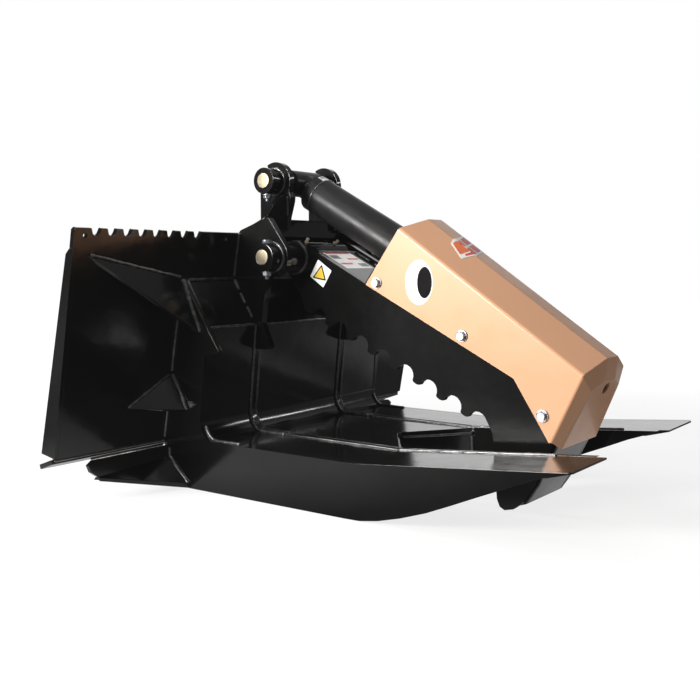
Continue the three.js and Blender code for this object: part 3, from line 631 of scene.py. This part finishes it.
def folded_cover():
    """The cover as one bent sheet with rounded folds and a hole in its front."""
    bm = cover_sheet()
    mesh = bpy.data.meshes.new("guard_cover_skin")
    bm.to_mesh(mesh)
    bm.free()
    draft = bpy.data.objects.new("guard_cover_draft", mesh)
    bpy.context.scene.collection.objects.link(draft)
    folds = draft.modifiers.new("folds", "BEVEL")
    folds.width = FOLD / 1000
    folds.segments = 4
    folds.limit_method = "WEIGHT"
    shell = draft.modifiers.new("sheet", "SOLIDIFY")
    shell.thickness = COVER_T / 1000
    shell.offset = -1
    shell.use_even_offset = True
    cut = bmesh.new()
    turn = Vector(HOLE_AXIS).to_track_quat("Z", "Y").to_matrix().to_4x4()
    bmesh.ops.create_cone(
        cut, cap_ends=True, segments=40, radius1=HOLE_R / 1000, radius2=HOLE_R / 1000, depth=0.07,
        matrix=Matrix.Translation(at(*HOLE)) @ turn)
    cut_mesh = bpy.data.meshes.new("hole")
    cut.to_mesh(cut_mesh)
    cut.free()
    cutter = bpy.data.objects.new("hole", cut_mesh)
    bpy.context.scene.collection.objects.link(cutter)
    hole = draft.modifiers.new("hole", "BOOLEAN")
    hole.object = cutter
    hole.operation = "DIFFERENCE"
    hole.solver = "EXACT"
    bpy.context.view_layer.update()
    made = baked(draft)
    for obj in (draft, cutter):
        bpy.data.objects.remove(obj)
    made.name = "guard_cover_folded"
    made.materials.clear()
    cover = new_piece("guard_cover_folded", made, "arm", TAN)
    soften(cover, 0.5)
    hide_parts("guard_cover")


folded_cover()


# ------------------------------------------------------------------ fasteners
HEX_ACROSS = 16.0
BOLT_R = 5.0


def revolve(bm, centre, axis, rings, count):
    """A turned shape: rings of (distance along axis, radius) in millimetres."""
    n = Vector(axis).normalized()
    u = n.orthogonal().normalized()
    v = n.cross(u)
    made = []
    for along, radius in rings:
        ring = []
        for j in range(count):
            a = 2 * math.pi * j / count
            offset = n * along + (u * math.cos(a) + v * math.sin(a)) * radius
            ring.append(bm.verts.new(centre + offset / 1000))
        made.append(ring)
    for a, b in zip(made, made[1:]):
        for j in range(count):
            k = (j + 1) % count
            bm.faces.new((a[j], a[k], b[k], b[j]))
    bm.faces.new(list(reversed(made[0])))
    bm.faces.new(made[-1])


def hex_head(bm, centre, axis, base, height, turn):
    """A hexagon head from base to base + height along axis, with its corners turned off."""
    n = Vector(axis).normalized()
    u = n.orthogonal().normalized()
    u = Matrix.Rotation(turn, 3, n) @ u
    v = n.cross(u)
    count = 48
    flat = HEX_ACROSS / 2

    def ring(along, shrink):
        found = []
        for j in range(count):
            a = 2 * math.pi * j / count
            folded = (a + math.pi / 6) % (math.pi / 3) - math.pi / 6
            radius = min(flat / math.cos(folded), shrink)
            offset = n * along + (u * math.cos(a) + v * math.sin(a)) * radius
            found.append(bm.verts.new(centre + offset / 1000))
        return found

    corner = flat / math.cos(math.pi / 6)
    levels = [(base, corner * 0.98), (base + 0.5, corner), (base + height * 0.66, corner),
              (base + height * 0.88, (corner + flat) / 2), (base + height, flat * 0.95),
              (base + height - 0.35, flat * 0.80)]
    rings = [ring(*level) for level in levels]
    for a, b in zip(rings, rings[1:]):
        for j in range(count):
            k = (j + 1) % count
            bm.faces.new((a[j], a[k], b[k], b[j]))
    bm.faces.new(list(reversed(rings[0])))
    bm.faces.new(rings[-1])


def cover_bolt(name, spot, s, turn):
    """A hexagon bolt with its washer on one side of the cover."""
    bm = bmesh.new()
    centre = at(spot[0], 0, spot[1])
    axis = (0, s, 0)
    face = COVER_Y + 0.3
    revolve(bm, centre, axis, [(70, BOLT_R - 0.4), (71, BOLT_R), (face + 2, BOLT_R)], 24)
    washer = [(0.0, 11.2), (0.3, 11.7), (1.7, 11.7), (2.1, 11.2), (2.1, 6.0)]
    revolve(bm, centre, axis, [(face + step, radius) for step, radius in washer], 48)
    hex_head(bm, centre, axis, face + 2.0, 6.6, turn)
    revolve(bm, centre, axis, [(face + 1.9, 8.6), (face + 2.4, 8.6)], 32)
    mesh = bpy.data.meshes.new(name)
    bm.to_mesh(mesh)
    bm.free()
    piece = new_piece(name, mesh, "arm", ZINC)
    soften(piece, 0)
    return piece


for side_name, s in SIDES:
    for i, spot in enumerate(COVER_BOLTS):
        piece = cover_bolt(f"hex_bolt_{side_name}_{i + 1}", spot, s, 0.35 + 0.5 * i)
        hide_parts(f"cover_bolt_{side_name}_{i + 1}")


def pin_bolt(name, pin, y, boss, blind, turn):
    """A cross bolt through a boss: head and washer above, lock nut and threads below."""
    bm = bmesh.new()
    centre = at(pin[0], y, pin[1])
    down = (0, 0, -1)
    seat = boss + 0.4
    top = -(seat - 6) if blind else -(seat + 2)
    threads = []
    z = seat + 9
    while z < seat + 15.0:
        threads += [(z, BOLT_R - 0.5), (z + 0.5, BOLT_R)]
        z += 1.0
    revolve(bm, centre, down, [(top, 4.9), (seat + 8.5, 4.9), *threads, (seat + 15.6, 4.2)], 28)
    washer = [(0.0, 10.0), (0.2, 10.6), (1.5, 10.6), (1.8, 10.0)]
    revolve(bm, centre, down, [(seat + step, radius) for step, radius in washer], 40)
    hex_head(bm, centre, down, seat + 1.8, 7.4, turn)
    if not blind:
        hex_head(bm, centre, (0, 0, 1), seat, 6.4, turn + 0.3)
    mesh = bpy.data.meshes.new(name)
    bm.to_mesh(mesh)
    bm.free()
    piece = new_piece(name, mesh, "frame", ZINC)
    soften(piece, 0)
    return piece


for side_name, s in SIDES:
    piece = pin_bolt(f"lower_pin_hex_bolt_{side_name}", LOWER_PIN, s * 176, 28.5, False, 0.2)
    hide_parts(f"lower_pin_bolt_{side_name}")
piece = pin_bolt("upper_pin_hex_bolt", UPPER_PIN, -114, 27, True, 0.6)
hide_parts("upper_pin_bolt")


# ------------------------------------------------------------------ stickers
PATCH_LIFT = 0.5


def sticker(name, body, outlines, materials, origin, u, v, lift=0.25):
    """Stacked flat shapes, each a list of points in millimetres along u and v from the origin."""
    origin, u, v = Vector(origin), Vector(u).normalized(), Vector(v)
    n = u.cross(v).normalized()
    v = n.cross(u)
    bm = bmesh.new()
    for layer, points in enumerate(outlines):
        height = lift + 0.12 * layer
        top = []
        low = []
        for a, b in points:
            p = origin + u * a + v * b
            top.append(bm.verts.new(at(*(p + n * (height + 0.1)))))
            low.append(bm.verts.new(at(*(p - n * 0.05))))
        made = [bm.faces.new(top)]
        count = len(top)
        for j in range(count):
            k = (j + 1) % count
            made.append(bm.faces.new((top[j], low[j], low[k], top[k])))
        made.append(bm.faces.new(list(reversed(low))))
        for f in made:
            f.material_index = layer
    mesh = bpy.data.meshes.new(name)
    bm.to_mesh(mesh)
    bm.free()
    return new_piece(name, mesh, body, materials)


def oval(cx, cy, rx, ry, count=56):
    turns = [2 * math.pi * i / count for i in range(count)]
    return [(cx + rx * math.cos(a), cy + ry * math.sin(a)) for a in turns]


def rounded(points, radius, steps=5):
    """A polygon with its corners rounded."""
    found = []
    count = len(points)
    for i in range(count):
        p = Vector(points[i])
        before = (Vector(points[i - 1]) - p).normalized() * radius
        after = (Vector(points[(i + 1) % count]) - p).normalized() * radius
        for k in range(steps + 1):
            t = k / steps
            q = (p + before) * (1 - t) ** 2 + p * 2 * t * (1 - t) + (p + after) * t ** 2
            found.append((q.x, q.y))
    return found


def box_outline(x0, y0, x1, y1, radius=0.0):
    points = [(x0, y0), (x1, y0), (x1, y1), (x0, y1)]
    return rounded(points, radius) if radius else points


# plain oval marking on each side of the cover
for side_name, s in SIDES:
    sticker(
        f"oval_marking_{side_name}", "arm",
        [oval(0, 0, 31, 43), oval(-s * 12.5, 0, 16.5, 30)],
        [WHITE_VINYL, DARK_VINYL], (484, s * COVER_Y, 324), (-s, 0, 0), (0, 0, 1))

# blank maker's patch, folded over the bend on top of the cover
sticker(
    "cover_patch_side", "arm",
    [rounded([(-12, 2.5), (32, -14), (38.5, 18.3), (-19, 18.3)], 2.5),
     rounded([(-9, 5), (22, -7), (25, 18.3), (-12, 18.3)], 3),
     rounded([(26, 2), (31, 0), (35, 18.3), (28, 18.3)], 1.5)],
    [WHITE_VINYL, ORANGE_VINYL, RED_VINYL],
    (530.1, -42.75, 391.25), (382, 0, -259.5), (22.3, 71, 20.2), PATCH_LIFT)
sticker(
    "cover_patch_top", "arm",
    [rounded([(-19, 0), (39, 0), (26, 48), (-31, 48)], 2.5),
     rounded([(-12, 0), (8, 0), (4, 13), (-15, 13)], 2.5),
     rounded([(13, 0), (34, 0), (31, 13), (10, 13)], 2),
     rounded([(-17, 18), (2, 18), (-4, 43), (-25, 43)], 3),
     rounded([(7, 18), (29, 18), (22, 43), (1, 43)], 3)],
    [WHITE_VINYL, ORANGE_VINYL, RED_VINYL, RED_VINYL, RED_VINYL],
    (535.7, -24.5, 396.3), (373.5, 0, -253.5), (0, 1, 0), PATCH_LIFT)

# plain card on each arm plate: white, with a dark-edged yellow triangle
for side_name, s in SIDES:
    card = [(-27, -6), (8, -29), (29, 6), (-6, 29)]
    tri = [(-21, -9), (15, -15), (4, 19)]
    if s > 0:
        card = [(-x, y) for x, y in reversed(card)]
        tri = [(-x, y) for x, y in reversed(tri)]
    small = [(x * 0.74 - 0.2, y * 0.74 - 0.4) for x, y in tri]
    sticker(
        f"arm_card_{side_name}", "arm",
        [rounded(card, 3), rounded(tri, 3), rounded(small, 2)],
        [WHITE_VINYL, DARK_VINYL, YELLOW_VINYL],
        (239, s * ARM_Y, 339), (-s, 0, 0), (0, 0, 1))

# blank card with red and grey bands on the arm's top plate; its white and red glow with painted light,
# so the card looks lit though it lies in the cylinder's shade
sticker(
    "arm_top_card", "arm",
    [box_outline(-48, 0, 46, 82, 4), box_outline(-44, 66, 42, 78), box_outline(-44, 44, -14, 60),
     box_outline(4, 40, 42, 46), box_outline(14, 8, 42, 22), box_outline(-44, 18, -4, 24)],
    [CARD_WHITE_GLOWING, CARD_RED_GLOWING, GREY_VINYL, CARD_RED_GLOWING, GREY_VINYL, CARD_RED_GLOWING],
    (279, 0, 349.4), (0, 1, 0), (-327, 0, 165))


def wrapped_label(name, distance, length, half_angle, radius, material):
    """A thin blank label bent round the cylinder, distance from the upper pin."""
    bm = bmesh.new()
    steps = 10
    shells = []
    for lift in (0.3, -0.1):
        for d in (distance, distance + length):
            row = []
            for i in range(steps + 1):
                a = math.radians(half_angle * (2 * i / steps - 1))
                row.append(bm.verts.new(at(*axis_point(
                    d, (radius + lift) * math.cos(a), -(radius + lift) * math.sin(a)))))
            shells.append(row)
    over, over_end, under, under_end = shells
    for i in range(steps):
        bm.faces.new((over[i], over[i + 1], over_end[i + 1], over_end[i]))
        bm.faces.new((under[i], under_end[i], under_end[i + 1], under[i + 1]))
        bm.faces.new((over[i], under[i], under[i + 1], over[i + 1]))
        bm.faces.new((over_end[i], over_end[i + 1], under_end[i + 1], under_end[i]))
    bm.faces.new((over[0], over_end[0], under_end[0], under[0]))
    bm.faces.new((over[-1], under[-1], under_end[-1], over_end[-1]))
    bmesh.ops.recalc_face_normals(bm, faces=bm.faces)
    mesh = bpy.data.meshes.new(name)
    bm.to_mesh(mesh)
    bm.free()
    piece = new_piece(name, mesh, "barrel", material)
    soften(piece, 0)


wrapped_label("barrel_label", 45, 17, 22, BARREL_R, WHITE_VINYL)
wrapped_label("barrel_label_stripe", 48, 5, 18, BARREL_R + 0.25, GREY_VINYL)


# ------------------------------------------------------------------ stage, light and camera
FLOOR_HALF = 9.0
FLOOR_CELLS = 24
FLOOR_DROP = 0.0005
# Pools of light on the floor that the object picks up: centre, full inside, none beyond, strength.
POOLS = [
    ((-0.5, -0.7, 0.0), 0.25, 0.65, 0.6),
    ((0.40, 0.30, 0.0), 0.25, 0.55, 0.45),
    ((0.20, 1.50, 0.0), 0.35, 0.60, 0.4),
    ((-4.0, -5.0, 0.0), 2.4, 4.2, 0.15),
]
POOL_BASE = 0.1
# Soft glows of the room: direction, where the glow starts and is full, strength.
GLOW = [
    ((-0.59, 0.81, 0.12), 0.76, 0.92, 1.3),
    ((0.20, 0.30, 0.93), 0.75, 0.95, 0.6),
    ((0.80, 0.60, 0.0), 0.20, 0.80, 0.08),
]
ROOM_BASE = 0.10
# Area lights: name, place, target, width, height, watts, colour.
LIGHTS = [
    ("key", (-1.24, -3.03, 1.16), (0.05, 0, 0.3), 1.3, 0.7, 195, (1.0, 0.985, 0.96)),
    ("rim", (1.42, 2.28, 1.46), (0.05, 0, 0.15), 0.7, 0.12, 5, (1, 1, 1)),
    ("fold", (0.0, -1.9, 2.4), (0.1, 0, 0.3), 1.6, 0.11, 13, (1, 1, 1)),
    ("edge", (-1.3, -0.9, 2.7), (-0.1, 0, 0.3), 0.12, 1.2, 12, (1, 1, 1)),
]
CAMERA_PLACE = (1.046, -1.659, 0.459)
CAMERA_TILT = math.radians(84.70)
CAMERA_TURN = math.radians(36.21)
CAMERA_LENS = 49.41
BLACK_LEVEL = -0.004


def floor():
    """The plain pale floor, with pools of light that only the object sees."""
    bm = bmesh.new()
    size, count = FLOOR_HALF, FLOOR_CELLS
    line = [-size + 2 * size * i / count for i in range(count + 1)]
    grid = [[bm.verts.new((x, y, -FLOOR_DROP)) for y in line] for x in line]
    for i in range(count):
        for j in range(count):
            bm.faces.new((grid[i][j], grid[i + 1][j], grid[i + 1][j + 1], grid[i][j + 1]))
    mesh = bpy.data.meshes.new("floor")
    bm.to_mesh(mesh)
    bm.free()
    obj = bpy.data.objects.new("floor", mesh)
    bpy.context.scene.collection.objects.link(obj)
    material, tree, bsdf = shader("pale_floor")
    rays = tree.nodes.new("ShaderNodeLightPath")
    pale = blend_colour(tree, noise(tree, 2.0, 3.0), (0.21, 0.21, 0.21), (0.23, 0.23, 0.23))
    shown = blend_colour(tree, rays.outputs["Is Glossy Ray"], pale, (0.02, 0.02, 0.02))
    tree.links.new(shown, bsdf.inputs["Base Color"])
    bsdf.inputs["Roughness"].default_value = 0.9
    bsdf.inputs["Specular IOR Level"].default_value = 0.0
    bsdf.inputs["Emission Color"].default_value = (1, 1, 1, 1)
    where = tree.nodes.new("ShaderNodeTexCoord")
    away = tree.nodes.new("ShaderNodeVectorMath")
    away.operation = "LENGTH"
    tree.links.new(where.outputs["Object"], away.inputs[0])
    seen = span(tree, away.outputs["Value"], 1.0, 2.6, 0.80, 1.0)
    thrown = POOL_BASE
    for spot, full, end, strength in POOLS:
        reach = tree.nodes.new("ShaderNodeVectorMath")
        reach.operation = "DISTANCE"
        tree.links.new(where.outputs["Object"], reach.inputs[0])
        reach.inputs[1].default_value = spot
        pool = span(tree, reach.outputs["Value"], full, end, strength, 0.0)
        thrown = math_node(tree, "ADD", pool, thrown)
    glow = tree.nodes.new("ShaderNodeMix")
    tree.links.new(rays.outputs["Is Camera Ray"], glow.inputs[0])
    tree.links.new(thrown, glow.inputs[2])
    tree.links.new(seen, glow.inputs[3])
    tree.links.new(glow.outputs[0], bsdf.inputs["Emission Strength"])
    mesh.materials.append(material)


def area_light(name, position, target, width, height, power, colour):
    data = bpy.data.lights.new(name, "AREA")
    data.shape = "RECTANGLE"
    data.size, data.size_y = width, height
    data.energy = power
    data.color = colour
    obj = bpy.data.objects.new(name, data)
    bpy.context.scene.collection.objects.link(obj)
    obj.location = position
    obj.rotation_euler = (Vector(target) - Vector(position)).to_track_quat("-Z", "Y").to_euler()


def facing(tree, direction, low, high):
    """0 to 1 as the way into the room turns towards direction; low and high are cosines."""
    where = tree.nodes.new("ShaderNodeTexCoord")
    dot = tree.nodes.new("ShaderNodeVectorMath")
    dot.operation = "DOT_PRODUCT"
    tree.links.new(where.outputs["Generated"], dot.inputs[0])
    dot.inputs[1].default_value = Vector(direction).normalized()
    n = tree.nodes.new("ShaderNodeMapRange")
    n.interpolation_type = "SMOOTHSTEP"
    n.inputs["From Min"].default_value = low
    n.inputs["From Max"].default_value = high
    tree.links.new(dot.outputs["Value"], n.inputs["Value"])
    return n.outputs["Result"]


def studio():
    """A white room to the camera, and a dim one with soft glows to the object."""
    world = bpy.data.worlds.new("studio")
    bpy.context.scene.world = world
    world.use_nodes = True
    tree = world.node_tree
    tree.nodes.clear()
    out = tree.nodes.new("ShaderNodeOutputWorld")
    plain = tree.nodes.new("ShaderNodeBackground")
    plain.inputs["Color"].default_value = (1, 1, 1, 1)
    room = tree.nodes.new("ShaderNodeBackground")
    level = ROOM_BASE
    for direction, low, high, strength in GLOW:
        glow = math_node(tree, "MULTIPLY", facing(tree, direction, low, high), strength)
        level = math_node(tree, "ADD", glow, level)
    tree.links.new(level, room.inputs["Strength"])
    rays = tree.nodes.new("ShaderNodeLightPath")
    mix = tree.nodes.new("ShaderNodeMixShader")
    tree.links.new(rays.outputs["Is Camera Ray"], mix.inputs[0])
    tree.links.new(room.outputs[0], mix.inputs[1])
    tree.links.new(plain.outputs[0], mix.inputs[2])
    tree.links.new(mix.outputs[0], out.inputs["Surface"])


def camera():
    data = bpy.data.cameras.new("camera")
    data.sensor_width = 36
    data.lens = CAMERA_LENS
    data.clip_end = 60
    obj = bpy.data.objects.new("camera", data)
    bpy.context.scene.collection.objects.link(obj)
    obj.location = CAMERA_PLACE
    obj.rotation_euler = (CAMERA_TILT, 0, CAMERA_TURN)
    bpy.context.scene.camera = obj


floor()
for light in LIGHTS:
    area_light(*light)
studio()
camera()
view = bpy.context.scene.view_settings
view.view_transform = "Standard"
# a little lens flare lifts the blacks
view.use_curve_mapping = True
view.curve_mapping.black_level = (BLACK_LEVEL, BLACK_LEVEL, BLACK_LEVEL)
view.curve_mapping.update()
